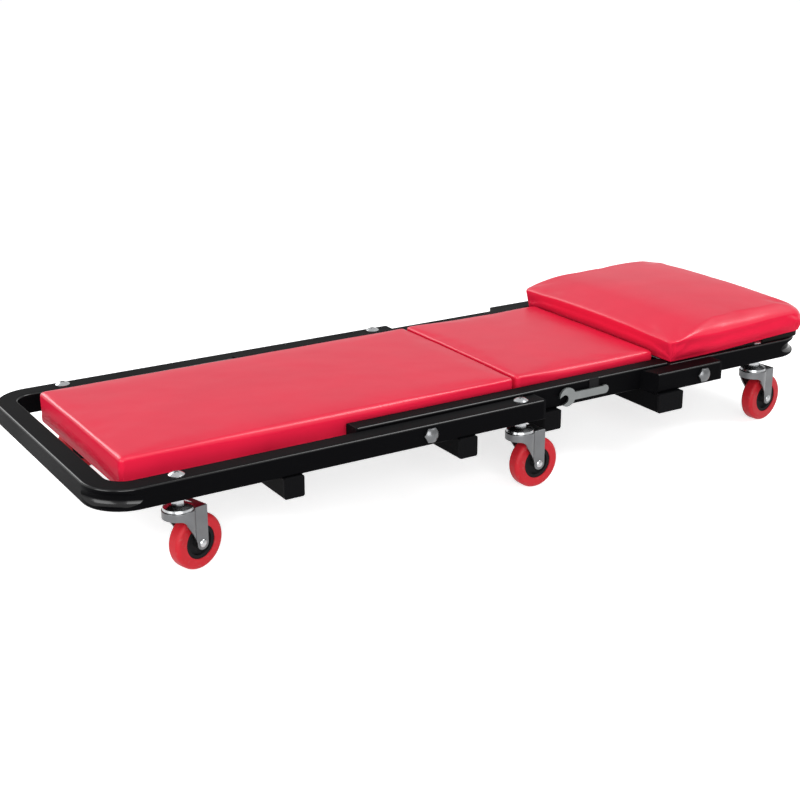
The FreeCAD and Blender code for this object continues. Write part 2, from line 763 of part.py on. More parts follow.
def build_middle(parts, places):
    level = middle_bottom + middle_rail_height / 2
    rails = []
    for side in SIDES:
        rail = straight_tube(V(middle_rail_start, side * middle_rail_y, level),
                             V(middle_rail_end, side * middle_rail_y, level), Y_AXIS,
                             middle_rail_width, middle_rail_height)
        bore = hinge_bolt + 2 * (running_clearance + bush_wall)
        rails.append(drill(rail, V(fold_hinge_x, side * middle_rail_y, hinge_z), Y_AXIS,
                           bore, 2 * middle_rail_width))
    parts["middle_rails"] = group(rails)
    parts["seat_hinge_arms"] = group([hinge_arm(side) for side in SIDES])
    parts["fold_hinge_bushes"] = group(hinge_bushes(fold_hinge_x, middle_rail_y, middle_rail_width))
    bar_level = middle_bottom - tube / 2
    parts["middle_bar"] = drill_screws(cross_bar(middle_bar_x, middle_bar_half, middle_bottom),
                                       places[:2], bar_level)
    parts["seat_stop_bar"] = drill_screws(cross_bar(seat_bar_x, seat_bar_half, middle_bottom,
                                                    seat_bar_width), places[2:], bar_level)
    plugs = bar_plugs(middle_bar_x, middle_bar_half, middle_bottom)
    plugs += bar_plugs(seat_bar_x, seat_bar_half, middle_bottom, seat_bar_width)
    for side in SIDES:
        plugs.append(plug(V(middle_rail_start, side * middle_rail_y, level), -X_AXIS, Y_AXIS,
                          middle_rail_width, middle_rail_height))
        plugs.append(plug(V(seat_hinge_x + arm_front, side * arm_y, middle_bottom + tube / 2),
                          X_AXIS, Y_AXIS, tube, tube))
    parts["middle_end_plugs"] = group(plugs)
    bolts, nuts = hinge_bolt_set(seat_hinge_x, arm_y + tube / 2, head_rail_outer - tube)
    parts["seat_hinge_bolts"] = group(bolts)
    parts["seat_hinge_nuts_washers"] = group(nuts + hinge_washers(seat_hinge_x, middle_rail_outer))
    build_pad(parts, "middle_pad", (middle_pad_start, middle_pad_end), middle_bottom,
              middle_pad_edge, places)
    build_screws(parts, "middle_pad", places, middle_bottom - tube, middle_bottom + screw_bite)
    parts["wrench_holder"] = wrench_holder()
    parts["wrench"] = wrench_solid()


def build_head(parts, places):
    frame = bent_tube(head_rail_start, head_end, 1, head_rail_y)
    plank = rounded_end(board(head_pad_start, head_pad_end, head_pad_width, rail_top), head_pad_corner)
    soft = cushion(head_pad_start, head_pad_end, head_pad_width, rail_top, head_pad_edge,
                   head_crown_along, head_crown_across, head_pad_shoulder, head_pad_corner)
    soft = soft.cut(plank)
    plank = bore_board(plank, places, rail_top)
    for name in HEAD_CASTERS:
        x, y = CASTERS[name]
        frame = drill(frame, V(x, y, hinge_z), Z_AXIS, king_bolt + 2 * fit_clearance, 2 * tube)
        pocket = (king_head + 2 * pocket_clearance, 2 * (king_head_height + pocket_clearance))
        plank = drill(plank, V(x, y, rail_top), Z_AXIS, *pocket)
        soft = drill(soft, V(x, y, rail_top), Z_AXIS, *pocket)
    for side in SIDES:
        bore = hinge_bolt + 2 * (running_clearance + bush_wall)
        frame = drill(frame, V(seat_hinge_x, side * head_rail_y, hinge_z), Y_AXIS, bore, 2 * tube)
    bar_x = seat_hinge_x - head_bar_from_hinge - head_bar / 2
    bar_z = rail_top - head_bar / 2
    half = head_rail_y - tube / 2
    bar = straight_tube(V(bar_x, -half, bar_z), V(bar_x, half, bar_z), X_AXIS, head_bar, head_bar)
    parts["head_frame_tube"] = group([drill_screws(frame, places, hinge_z), bar])
    parts["head_pad_cushion"] = soft
    parts["head_pad_board"] = plank
    parts["seat_hinge_bushes"] = group(hinge_bushes(seat_hinge_x, head_rail_y, tube))
    parts["head_end_plugs"] = group([plug(V(head_rail_start, side * head_rail_y, hinge_z), -X_AXIS,
                                          Y_AXIS, tube, tube) for side in SIDES])
    build_screws(parts, "head_pad", places, rail_bottom, rail_top + screw_bite)


def build_casters(parts):
    for prefix, names in (("base", BASE_CASTERS), ("head", HEAD_CASTERS)):
        spots = [CASTERS[name] for name in names]
        parts[prefix + "_caster_bolts"] = group(king_bolt_solid(x, y) for x, y in spots)
        parts[prefix + "_caster_nuts"] = group(nut for x, y in spots for nut in caster_nuts(x, y))
        parts[prefix + "_caster_races"] = group(caster_race(x, y) for x, y in spots)
        parts[prefix + "_caster_balls"] = group(one for x, y in spots for one in caster_balls(x, y))
    for name in CASTERS:
        parts[name + "_fork"] = fork(name)
        parts[name + "_axle"] = wheel_axle(name)
        parts[name + "_tread"] = tread(name)
        parts[name + "_hub"] = hub(name)


def main():
    parts = {}
    back, middle, head = screw_places()
    build_base(parts, back)
    build_middle(parts, middle)
    build_head(parts, head)
    build_casters(parts)
    os.makedirs("parts", exist_ok=True)
    for name, shape in parts.items():
        shape.exportStep("parts/" + name + ".step")
    print(len(parts), "nodes written")


main()
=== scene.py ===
"""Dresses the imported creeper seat: vinyl pads, powder-coated tubes, plated casters and a studio."""

import math

import bmesh
import bpy
from bpy.props import FloatProperty, FloatVectorProperty, PointerProperty
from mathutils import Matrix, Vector, noise


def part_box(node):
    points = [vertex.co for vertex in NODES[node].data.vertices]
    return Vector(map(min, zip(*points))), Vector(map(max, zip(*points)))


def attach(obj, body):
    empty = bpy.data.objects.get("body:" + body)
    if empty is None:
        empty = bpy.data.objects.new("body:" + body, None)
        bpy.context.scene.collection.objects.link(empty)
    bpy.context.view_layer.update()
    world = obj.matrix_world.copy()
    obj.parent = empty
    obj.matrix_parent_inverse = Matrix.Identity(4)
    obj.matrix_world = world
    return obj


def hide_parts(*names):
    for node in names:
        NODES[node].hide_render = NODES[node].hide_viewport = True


bl_info = {
    "name": "Creeper seat",
    "version": (1, 0, 0),
    "blender": (4, 5, 0),
    "location": "View3D > Sidebar > Creeper",
    "description": "Upholstery, finishes and studio for a folding creeper seat",
    "category": "Object",
}

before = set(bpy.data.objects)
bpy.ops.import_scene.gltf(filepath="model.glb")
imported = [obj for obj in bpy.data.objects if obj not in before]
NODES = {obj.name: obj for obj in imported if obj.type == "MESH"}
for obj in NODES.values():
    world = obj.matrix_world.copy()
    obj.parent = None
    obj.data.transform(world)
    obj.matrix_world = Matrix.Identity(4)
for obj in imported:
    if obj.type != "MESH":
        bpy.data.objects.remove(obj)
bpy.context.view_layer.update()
CASTERS = ("foot_left", "foot_right", "middle_left", "middle_right", "head_left", "head_right")

# Steps of the pad covers' grid in metres, near the ends and between them, and rows up the sides.
FINE_STEP = 0.002
COARSE_STEP = 0.006
SIDE_ROWS = 16

# How every cover is drawn, in metres.
SIDE_BULGE = 0.0008
LOWER_TUCK = 0.0012
UNDERSIDE_SUNK = 0.002
STAPLED_BAND = 0.005

SWELL_FRAMES = 20
BEAD_SPOKES = 10

# Node and tube width in metres of the rails that a body's cross bars are welded to.
RAILS = {"base": ("base_frame_tube", 0.025), "middle": ("middle_rails", 0.022)}
WELD_MARGIN = 0.002

# Name, place, aim and size in metres, and power in watts.
LIGHTS = (
    ("key", (1.4, -0.95, 2.4), (0.0, 0.0, 0.1), 1.3, 38.0),
    ("back", (-0.85, 2.1, 1.3), (0.0, 0.0, 0.1), 1.2, 18.0),
    ("foot", (-2.6, -0.5, 1.0), (0.0, 0.0, 0.1), 1.4, 30.0),
    ("front", (-1.2, -2.5, 0.9), (0.0, 0.0, 0.08), 1.8, 58.0),
)


class Sock:
    """A node socket that can be used in plain arithmetic."""

    def __init__(self, shade, socket):
        self.shade = shade
        self.socket = socket

    def _math(self, operation, *values):
        return self.shade.node("ShaderNodeMath", {"operation": operation},
                               dict(enumerate(values)))

    def __add__(self, other):
        return self._math("ADD", self, other)

    def __radd__(self, other):
        return self._math("ADD", other, self)

    def __sub__(self, other):
        return self._math("SUBTRACT", self, other)

    def __rsub__(self, other):
        return self._math("SUBTRACT", other, self)

    def __mul__(self, other):
        return self._math("MULTIPLY", self, other)

    def __rmul__(self, other):
        return self._math("MULTIPLY", other, self)

    def clip(self, low, high):
        """This value spread so that low becomes 0 and high becomes 1."""
        return self.shade.node("ShaderNodeMapRange", {"clamp": True},
                               {"Value": self, "From Min": low, "From Max": high})


class Nodes:
    """A node tree and the one way that nodes are added to it."""

    def __init__(self, tree):
        self.tree = tree

    def node(self, kind, settings, sockets, out=0):
        """A node of a kind, its settings, and the values or links of its sockets."""
        made = self.tree.nodes.new(kind)
        for key, value in settings.items():
            setattr(made, key, value)
        self.feed(made, sockets)
        return Sock(self, made.outputs[out]) if made.outputs else None

    def feed(self, made, sockets):
        for key, value in sockets.items():
            if isinstance(value, Sock):
                self.tree.links.new(value.socket, made.inputs[key])
            else:
                made.inputs[key].default_value = value

    def seen(self):
        """1 for rays that show the background: from the camera, in a mirror or through glass."""
        shown = 0.0
        for ray in ("Is Camera Ray", "Is Glossy Ray", "Is Transmission Ray"):
            kind = self.node("ShaderNodeLightPath", {}, {}, ray)
            shown = self.node("ShaderNodeMath", {"operation": "MAXIMUM"}, {0: kind, 1: shown})
        return shown


class Shade(Nodes):
    """One material and the nodes in it."""

    def __init__(self, name):
        self.material = bpy.data.materials.new(name)
        self.material.use_nodes = True
        super().__init__(self.material.node_tree)
        self.surface = self.tree.nodes["Principled BSDF"]
        self.coords = self.node("ShaderNodeTexCoord", {}, {}, "Object")
        self.facing = self.node("ShaderNodeTexCoord", {}, {}, "Normal")

    def noise(self, scale, detail, stretch=(1, 1, 1)):
        place = self.node("ShaderNodeMapping", {}, {"Vector": self.coords, "Scale": stretch})
        return self.node("ShaderNodeTexNoise", {}, {"Vector": place, "Scale": scale,
                                                    "Detail": detail}, "Fac")

    def cells(self, scale):
        return self.node("ShaderNodeTexVoronoi", {}, {"Vector": self.coords, "Scale": scale},
                         "Distance")

    def rise(self):
        """How far the surface faces up, from -1 to 1."""
        return self.node("ShaderNodeSeparateXYZ", {}, {"Vector": self.facing}, "Z")

    def edges(self):
        """1 on rounded edges, between the upright and the level faces."""
        slope = self.rise()
        return slope.clip(0.15, 0.4) * (1 - slope.clip(0.85, 0.98))

    def mix(self, mask, first, second):
        """Colour that runs from the first to the second as the mask goes from 0 to 1."""
        return self.node("ShaderNodeMix", {"data_type": "RGBA"}, {0: mask, 6: first, 7: second}, 2)

    def bump(self, height, distance, strength):
        return self.node("ShaderNodeBump", {}, {"Height": height, "Distance": distance,
                                                "Strength": strength}, "Normal")

    def finish(self, **sockets):
        self.feed(self.surface, {key.replace("_", " "): value for key, value in sockets.items()})
        return self.material


def rgba(colour, gain=1.0):
    return (colour[0] * gain, colour[1] * gain, colour[2] * gain, 1.0)


def vinyl(colours):
    """Smooth upholstery vinyl with a fine pebbled grain, stretched to a shine over the edges."""
    shade = Shade("red_vinyl")
    pebble = shade.cells(900.0)
    cloud = shade.noise(14.0, 4.0)
    pores = shade.noise(2200.0, 2.0)
    tone = shade.mix(cloud.clip(0.35, 0.7), rgba(colours.vinyl, 0.97), rgba(colours.vinyl, 1.03))
    sheen = 0.36 * shade.rise().clip(0.6, 0.95) + 0.8 * shade.edges()
    return shade.finish(Base_Color=tone, Roughness=0.36 + 0.05 * cloud + 0.05 * pebble,
                        Normal=shade.bump(pebble + 0.3 * pores, 0.00012, 0.3),
                        Specular_IOR_Level=0.02, Coat_Weight=sheen, Coat_Roughness=0.28)


def powder_coat(colours):
    """Black powder coat: faint orange peel, small rubbed spots and edges rubbed to a gloss."""
    shade = Shade("black_powder_coat")
    peel = shade.noise(420.0, 2.0)
    cloud = shade.noise(9.0, 5.0)
    rubs = shade.noise(60.0, 6.0, (1, 6, 6)).clip(0.66, 0.8)
    tone = shade.mix(rubs * 0.5, rgba(colours.paint), rgba(colours.paint, 3.2))
    return shade.finish(Base_Color=tone, Roughness=0.36 + 0.16 * cloud + 0.1 * rubs,
                        Normal=shade.bump(peel, 0.0002, 0.22), Specular_IOR_Level=0.015,
                        Coat_Weight=shade.edges() * 0.7, Coat_Roughness=0.16)


def plated(name, colour, shine, grain):
    """Bright plated steel with drawn marks and slightly clouded plating."""
    shade = Shade(name)
    cloud = shade.noise(70.0, 4.0)
    drawn = shade.noise(500.0, 2.0, (1, 1, grain))
    tone = shade.mix(cloud.clip(0.3, 0.75), rgba(colour, 0.82), rgba(colour))
    return shade.finish(Base_Color=tone, Metallic=1.0, Roughness=shine + 0.14 * cloud + 0.05 * drawn,
                        Normal=shade.bump(drawn, 0.00008, 0.2))


def tread_rubber(colours):
    """Cast red polyurethane, a little scuffed and dusty."""
    shade = Shade("red_tread")
    cloud = shade.noise(55.0, 5.0)
    scuffs = shade.noise(240.0, 5.0).clip(0.58, 0.75)
    tone = shade.mix(cloud, rgba(colours.tread, 0.9), rgba(colours.tread, 1.1))
    tone = shade.mix(scuffs * 0.25, tone, (0.2, 0.16, 0.15, 1.0))
    return shade.finish(Base_Color=tone, Roughness=0.36 + 0.18 * cloud + 0.1 * scuffs,
                        Normal=shade.bump(cloud, 0.0003, 0.15), Specular_IOR_Level=0.2)


def moulded(name, colour, shine):
    """Moulded plastic with a spark-eroded grain."""
    shade = Shade(name)
    grain = shade.noise(1500.0, 2.0)
    cloud = shade.noise(30.0, 4.0)
    tone = shade.mix(cloud, rgba(colour, 0.85), rgba(colour, 1.2))
    return shade.finish(Base_Color=tone, Roughness=shine + 0.12 * cloud,
                        Normal=shade.bump(grain, 0.00015, 0.3), Specular_IOR_Level=0.03)


def plywood(colours):
    """Near-black plywood: partly its own dark finish and partly painted shade, since its edge, bared
    under the lifted head pad, stands in for the shadowed gap there. Long grain on the faces and glued
    plies at the edges.
    """
    shade = Shade("plywood")
    grain = shade.noise(26.0, 6.0, (1, 14, 40))
    fleck = shade.noise(160.0, 4.0, (1, 10, 10))
    plies = shade.node("ShaderNodeTexWave", {"bands_direction": "Z"},
                       {"Vector": shade.coords, "Scale": 160.0, "Distortion": 1.0}, "Fac")
    tone = shade.mix(grain.clip(0.3, 0.7), rgba(colours.board_and_shade, 0.75), rgba(colours.board_and_shade, 1.1))
    tone = shade.mix(fleck.clip(0.55, 0.75) * 0.4, tone, rgba(colours.board_and_shade, 0.5))
    tone = shade.mix(plies * 0.15, tone, rgba(colours.board_and_shade, 0.45))
    return shade.finish(Base_Color=tone, Roughness=0.62 + 0.2 * grain,
                        Normal=shade.bump(grain + 0.5 * fleck, 0.0004, 0.3),
                        Specular_IOR_Level=0.04)


class CreeperSizes(bpy.types.PropertyGroup):
    """Sizes of the upholstery and the welds."""

    edge_round: FloatProperty(name="Pad edge", description="Rounding of the pads' end edges",
                              default=0.0042, unit="LENGTH")
    side_round: FloatProperty(name="Pad side edge", default=0.0075, unit="LENGTH",
                              description="Rounding of the pads' long top edges")
    meeting_round: FloatProperty(name="Meeting edge", default=0.0022, unit="LENGTH",
                                 description="Rounding where the back and middle pads meet")
    head_round: FloatProperty(name="Head pad edge", description="Rounding of the head pad's edges",
                              default=0.026, unit="LENGTH")
    pleat_depth: FloatProperty(name="Pleat depth", description="Depth of the folds at pad corners",
                               default=0.0016, unit="LENGTH")
    swell: FloatProperty(name="Swell", description="Most that the foam may swell the cover",
                         default=0.0012, unit="LENGTH")
    weld_radius: FloatProperty(name="Weld", description="Radius of the weld beads",
                               default=0.0022, unit="LENGTH")


class CreeperColours(bpy.types.PropertyGroup):
    """Colours of the finishes."""

    vinyl: FloatVectorProperty(name="Vinyl", description="Pad covers", subtype="COLOR",
                               default=(0.65, 0.013, 0.045), min=0, max=1)
    paint: FloatVectorProperty(name="Paint", description="Powder coat on the tubes",
                               subtype="COLOR", default=(0.002, 0.002, 0.0024), min=0, max=1)
    plate: FloatVectorProperty(name="Plating", description="Plated bolts and casters",
                               subtype="COLOR", default=(0.44, 0.45, 0.46), min=0, max=1)
    # Darker than the plating: painted shade, standing in for the darker surroundings that forks and
    # hinge bolts mirror.
    fork: FloatVectorProperty(name="Forks", description="Forks and hinge bolts", subtype="COLOR",
                              default=(0.15, 0.153, 0.158), min=0, max=1)
    tool: FloatVectorProperty(name="Wrench", description="Plated tool steel", subtype="COLOR",
                              default=(0.2, 0.21, 0.21), min=0, max=1)
    tread: FloatVectorProperty(name="Tread", description="Wheel treads", subtype="COLOR",
                               default=(0.42, 0.01, 0.018), min=0, max=1)
    plastic: FloatVectorProperty(name="Plastic", description="Wheel hubs and the wrench holder",
                                 subtype="COLOR", default=(0.012, 0.012, 0.013), min=0, max=1)
    plug: FloatVectorProperty(name="Plugs", description="Tube plugs", subtype="COLOR",
                              default=(0.003, 0.003, 0.0035), min=0, max=1)
    # Near black: partly the boards' own finish, partly painted shade where a board's edge fills the
    # gap under the head pad.
    board_and_shade: FloatVectorProperty(name="Wood", description="Pad boards", subtype="COLOR",
                              default=(0.012, 0.011, 0.01), min=0, max=1)


def paint(material, *names):
    """Give CAD nodes a material in place of their packed one."""
    for name in names:
        mesh = NODES[name].data
        mesh.materials.clear()
        mesh.materials.append(material)


def graded(length, fine, coarse, zone):
    """Places along a length, close together near both ends and wider in the middle."""
    places = [zone * step / round(zone / fine) for step in range(round(zone / fine) + 1)]
    count = max(2, round((length - 2 * zone) / coarse))
    places += [zone + (length - 2 * zone) * step / count for step in range(1, count)]
    places += [length - value for value in reversed(places[:round(zone / fine) + 1])]
    return [2 * value / length - 1 for value in places]


def lattice_box(xs, ys, zs):
    """Vertices and quads of a box surface cut at the given places, each from -1 to 1."""
    index = {}
    faces = []

    def corner(i, j, k):
        return index.setdefault((i, j, k), len(index))

    nx, ny, nz = len(xs) - 1, len(ys) - 1, len(zs) - 1
    for i in range(nx):
        for j in range(ny):
            faces.append([corner(i, j, nz), corner(i + 1, j, nz),
                          corner(i + 1, j + 1, nz), corner(i, j + 1, nz)])
            faces.append([corner(i, j, 0), corner(i, j + 1, 0),
                          corner(i + 1, j + 1, 0), corner(i + 1, j, 0)])
    for i in range(nx):
        for k in range(nz):
            faces.append([corner(i, 0, k), corner(i + 1, 0, k),
                          corner(i + 1, 0, k + 1), corner(i, 0, k + 1)])
            faces.append([corner(i, ny, k), corner(i, ny, k + 1),
                          corner(i + 1, ny, k + 1), corner(i + 1, ny, k)])
    for j in range(ny):
        for k in range(nz):
            faces.append([corner(0, j, k), corner(0, j, k + 1),
                          corner(0, j + 1, k + 1), corner(0, j + 1, k)])
            faces.append([corner(nx, j, k), corner(nx, j + 1, k),
                          corner(nx, j + 1, k + 1), corner(nx, j, k + 1)])
    points = [None] * len(index)
    for (i, j, k), place in index.items():
        points[place] = (xs[i], ys[j], zs[k])
    return points, faces


def smooth(low, high, value):
    """0 on the low side, 1 on the high side and an S-curve between; low may be the larger."""
    step = min(1.0, max(0.0, (value - low) / (high - low)))
    return step * step * (3 - 2 * step)


def through(stations, place):
    """Smooth curve through (place, value) stations, read at one place."""
    last = len(stations) - 1
    index = max(n for n in range(last) if stations[n][0] <= max(place, stations[0][0]))
    slopes = []
    for n in (index, index + 1):
        first, second = stations[max(0, n - 1)], stations[min(last, n + 1)]
        slopes.append((second[1] - first[1]) / (second[0] - first[0]))
    (x0, y0), (x1, y1) = stations[index], stations[index + 1]
    run = x1 - x0
    t = min(1.0, max(0.0, (place - x0) / run))
    return ((2 * t ** 3 - 3 * t ** 2 + 1) * y0 + (t ** 3 - 2 * t ** 2 + t) * run * slopes[0]
            + (3 * t ** 2 - 2 * t ** 3) * y1 + (t ** 3 - t ** 2) * run * slopes[1])


class Pad:
    """One upholstered pad: where it lies and how its cover is drawn.

    The outline's corners are given for the foot and the head end, the top edge's rounding for the
    foot end, the sides and the head end, and the edge's height at stations from the foot end (0)
    to the head end (1). The top is crowned across. A lean moves the faces that look one way out
    by an amount, which is reached between two heights over the lower edge. The lower edge is
    lifted towards the head end.
    """

    # Share of half the length over which the rounding changes, and of that where it is done.
    ROUNDING_SPAN = 0.7
    ROUNDING_DONE = 0.1

    def __init__(self, name, body, corners, rounds, heights, across, leans, lift=0.0):
        self.name = name
        self.body = body
        self.low, self.high = (Vector(point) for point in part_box(name + "_cushion"))
        self.corners = corners
        self.rounds = rounds
        self.heights = heights
        self.across = across
        self.leans = leans
        self.lift = lift
        self.centre = (self.low + self.high) / 2
        self.half = (self.high - self.low) / 2

    def corner(self, x):
        return self.corners[0] if x < 0 else self.corners[1]

    def outline(self, a, b):
        """Point and outward direction of the rounded outline facing a point on the unit square."""
        point = Vector((a * self.half.x, b * self.half.y))
        corner = self.corner(a)
        inner = Vector((self.half.x - corner, self.half.y - corner))
        held = Vector((max(-inner.x, min(inner.x, point.x)), max(-inner.y, min(inner.y, point.y))))
        out = (point - held).normalized()
        return held + out * corner, out

    def top(self, x, y):
        """Height of the crowned top over a plan point."""
        place = 0.5 + 0.5 * x / self.half.x
        side = 1 - min(1.0, (y / self.half.y) ** 2)
        return self.low.z + through(self.heights, place) + self.across * side

    def floor(self, x):
        """Height of the lower edge at a plan place."""
        return self.low.z + self.lift * smooth(-0.6 * self.half.x, self.half.x, x)

    def rounding(self, x):
        """Radius of the top edge at a plan place."""
        foot, side, head = self.rounds
        span = self.ROUNDING_SPAN * self.half.x
        done = self.ROUNDING_DONE * span
        if x < 0:
            return side + (foot - side) * smooth(-self.half.x + span, -self.half.x + done, x)
        return side + (head - side) * smooth(self.half.x - span, self.half.x - done, x)

    def shape(self, a, b, c):
        """Place on the finished pad of a point on the unit box."""
        reach = max(abs(a), abs(b))
        rim, out = self.outline(a / reach, b / reach) if reach else self.outline(1.0, 0.0)
        inset = (1 - reach) * rim.length
        tall = self.top(rim.x * reach, rim.y * reach) - self.floor(rim.x * reach)
        depth = (1 - c) / 2 * tall
        curve = self.rounding(rim.x)
        if c > -1 and inset < curve and depth < curve:
            away = Vector((inset - curve, depth - curve))
            away *= curve / away.length
            inset = curve + away.x
            depth = curve + away.y
        flank = depth / tall
        plan = rim * max(0.0, 1 - inset / rim.length)
        height = self.top(plan.x, plan.y) - depth if c > -1 else self.floor(plan.x)
        if c == -1:
            height += UNDERSIDE_SUNK if reach < 0.96 else 0.0
            draw = -LOWER_TUCK if reach > 0.99 else 0.0
        else:
            draw = SIDE_BULGE * math.sin(math.pi * min(1.0, flank)) - LOWER_TUCK * flank ** 2
        fade = 1 - smooth(0.0, curve * 2, inset) if c > -1 else smooth(0.6, 1.0, reach)
        plan += out * (draw * fade)
        for facing, amount, low, high in self.leans:
            share = max(0.0, out.dot(facing)) * fade * smooth(low, high, height - self.floor(plan.x))
            plan += facing * (amount * share)
        return Vector((self.centre.x + plan.x, self.centre.y + plan.y, height))

    def mesh(self):
        zone = max(self.corners) * 1.6
        xs = graded(2 * self.half.x, FINE_STEP, COARSE_STEP, zone)
        ys = graded(2 * self.half.y, FINE_STEP, COARSE_STEP, zone)
        zs = [-1 + 2 * step / SIDE_ROWS for step in range(SIDE_ROWS + 1)]
        points, faces = lattice_box(xs, ys, zs)
        made = bpy.data.meshes.new(self.name)
        made.from_pydata([self.shape(*point) for point in points], [], faces)
        made.update()
        return made

    def pleat(self, vertex, depth):
        """How far the cover is drawn in at a corner's folds."""
        local = vertex - self.centre
        corner = self.corner(local.x)
        hub = Vector((math.copysign(self.half.x - corner, local.x),
                      math.copysign(self.half.y - corner, local.y)))
        away = Vector((local.x, local.y)) - hub
        if away.x * hub.x < 0 or away.y * hub.y < 0 or away.length < corner * 0.35:
            return Vector((0, 0, 0))
        turn = math.degrees(math.atan2(abs(away.y), abs(away.x)))
        drop = (self.high.z - vertex.z) / (self.high.z - self.low.z)
        fall = smooth(0.3, 0.65, drop) * (1 - 0.35 * smooth(0.8, 1.0, drop))
        wide = corner > 0.01
        folds = ((22, 6.0, 0.7), (64, 6.0, 1.0)) if wide else ((42, 9.0, 1.5),)
        slant = 7 * drop
        pull = 0.0
        for place, width, share in folds:
            pull += share * math.exp(-((turn - place - slant) / width) ** 2)
        inward = Vector((-away.x, -away.y, 0)).normalized()
        return inward * (depth * pull * fall)


def both_sides(amount, low, high):
    """The same lean on a pad's two long sides."""
    return tuple((Vector((0, way)), amount, low, high) for way in (1, -1))


def swell_cover(piece, pad, limit):
    """Let the foam press the cover out a little, held where it is stapled under the board."""
    start = [vertex.co.copy() for vertex in piece.data.vertices]
    held = piece.vertex_groups.new(name="stapled")
    low = [v.index for v in piece.data.vertices
           if v.co.z < pad.floor(v.co.x - pad.centre.x) + STAPLED_BAND]
    held.add(low, 1.0, "REPLACE")
    cover = piece.modifiers.new("cover", "CLOTH")
    cover.settings.quality = 5
    cover.settings.mass = 0.4
    cover.settings.tension_stiffness = 40
    cover.settings.compression_stiffness = 40
    cover.settings.bending_stiffness = 8
    cover.settings.use_pressure = True
    cover.settings.uniform_pressure_force = 4
    cover.settings.effector_weights.gravity = 0
    cover.settings.vertex_group_mass = "stapled"
    cover.collision_settings.use_collision = False
    cover.point_cache.frame_end = SWELL_FRAMES
    scene = bpy.context.scene
    for step in range(1, SWELL_FRAMES + 1):
        scene.frame_set(step)
    swollen = piece.evaluated_get(bpy.context.evaluated_depsgraph_get()).to_mesh()
    places = [vertex.co.copy() for vertex in swollen.vertices]
    piece.modifiers.remove(cover)
    piece.vertex_groups.remove(held)
    for vertex, first, last in zip(piece.data.vertices, start, places):
        move = last - first
        if move.length > limit:
            move *= limit / move.length
        vertex.co = first + move
    scene.frame_set(1)


def upholster(pad, sizes, material):
    """Build one pad's cover, swell it, fold its corners and put it on its body."""
    piece = bpy.data.objects.new(pad.name, pad.mesh())
    bpy.context.scene.collection.objects.link(piece)
    swell_cover(piece, pad, sizes.swell)
    for vertex in piece.data.vertices:
        place = vertex.co
        ripple = noise.noise(place * 26.0) * 0.0003 + noise.noise(place * 75.0) * 0.0001
        top = smooth(pad.low.z + 0.008, pad.low.z + 0.02, place.z)
        vertex.co = place + pad.pleat(place, sizes.pleat_depth) + Vector((0, 0, ripple * top))
    piece.data.materials.append(material)
    for face in piece.data.polygons:
        face.use_smooth = True
    fine = piece.modifiers.new("fine", "SUBSURF")
    fine.levels = 1
    fine.render_levels = 1
    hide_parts(pad.name + "_cushion")
    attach(piece, pad.body)


def bead(name, start, end, radius, material, body):
    """Weld bead: a ridge of overlapping ripples from one point to another."""
    run = end - start
    count = max(3, int(run.length / (radius * 0.9)))
    side = run.normalized().orthogonal().normalized()
    lift = run.normalized().cross(side)
    mesh = bmesh.new()
    rings = []
    for step in range(count * 2 + 1):
        share = step / (count * 2)
        taper = math.sqrt(max(0.0, 1 - (2 * share - 1) ** 8))
        wave = radius * (0.86 + 0.14 * (step % 2)) * max(0.12, taper)
        centre = start + run * share
        wander = noise.noise(centre * 300.0) * radius * 0.25
        loop = []
        for spoke in range(BEAD_SPOKES):
            angle = 2 * math.pi * spoke / BEAD_SPOKES
            loop.append(mesh.verts.new(centre + side * (wave * math.cos(angle) + wander)
                                       + lift * (wave * math.sin(angle))))
        rings.append(loop)
    for near, far in zip(rings, rings[1:]):
        for spoke in range(BEAD_SPOKES):
            follow = (spoke + 1) % BEAD_SPOKES
            mesh.faces.new((near[spoke], near[follow], far[follow], far[spoke]))
    mesh.faces.new(list(reversed(rings[0])))
    mesh.faces.new(rings[-1])
    bmesh.ops.recalc_face_normals(mesh, faces=mesh.faces)
    data = bpy.data.meshes.new(name)
    mesh.to_mesh(data)
    mesh.free()
    for face in data.polygons:
        face.use_smooth = True
    piece = bpy.data.objects.new(name, data)
    bpy.context.scene.collection.objects.link(piece)
    piece.data.materials.append(material)
    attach(piece, body)


class CREEPER_OT_frame(bpy.types.Operator):
    """Powder-coat the tubes and finish the plastic plugs"""

    bl_idname = "creeper.frame"
    bl_label = "Frame finishes"

    def execute(self, context):
        colours = context.scene.creeper_colours
        coat = powder_coat(colours)
        paint(coat, "base_frame_tube", "head_frame_tube", "middle_rails", "seat_hinge_arms",
              "base_foot_bar", "base_stop_bar", "middle_bar", "seat_stop_bar")
        plugs = moulded("plug_plastic", colours.plug, 0.48)
        paint(plugs, "base_end_plugs", "middle_end_plugs", "head_end_plugs")
        paint(moulded("holder_strip", colours.plastic, 0.55), "wrench_holder")
        return {"FINISHED"}


class CREEPER_OT_hardware(bpy.types.Operator):
    """Plate the bolts, races and forks, and give the wrench its tool-steel finish"""

    bl_idname = "creeper.hardware"
    bl_label = "Plated hardware"

    def execute(self, context):
        colours = context.scene.creeper_colours
        zinc = plated("bright_zinc", colours.plate, 0.16, 8)
        names = [name for name in NODES if name.endswith(
            ("_bolts", "_nuts", "_nuts_washers", "_races", "_balls", "_bushes", "_screws", "_axle"))]
        paint(zinc, *names)
        # Forks and hinge bolts take a darker zinc colour than the bright zinc: painted shade for the
        # darker surroundings mirrored in them.
        paint(plated("stamped_zinc_painted_shade", colours.fork, 0.22, 3), *[name + "_fork" for name in CASTERS])
        paint(plated("hinge_zinc_painted_shade", colours.fork, 0.24, 4), "fold_hinge_bolts", "seat_hinge_bolts")
        paint(plated("wrench_steel", colours.tool, 0.34, 1), "wrench")
        return {"FINISHED"}


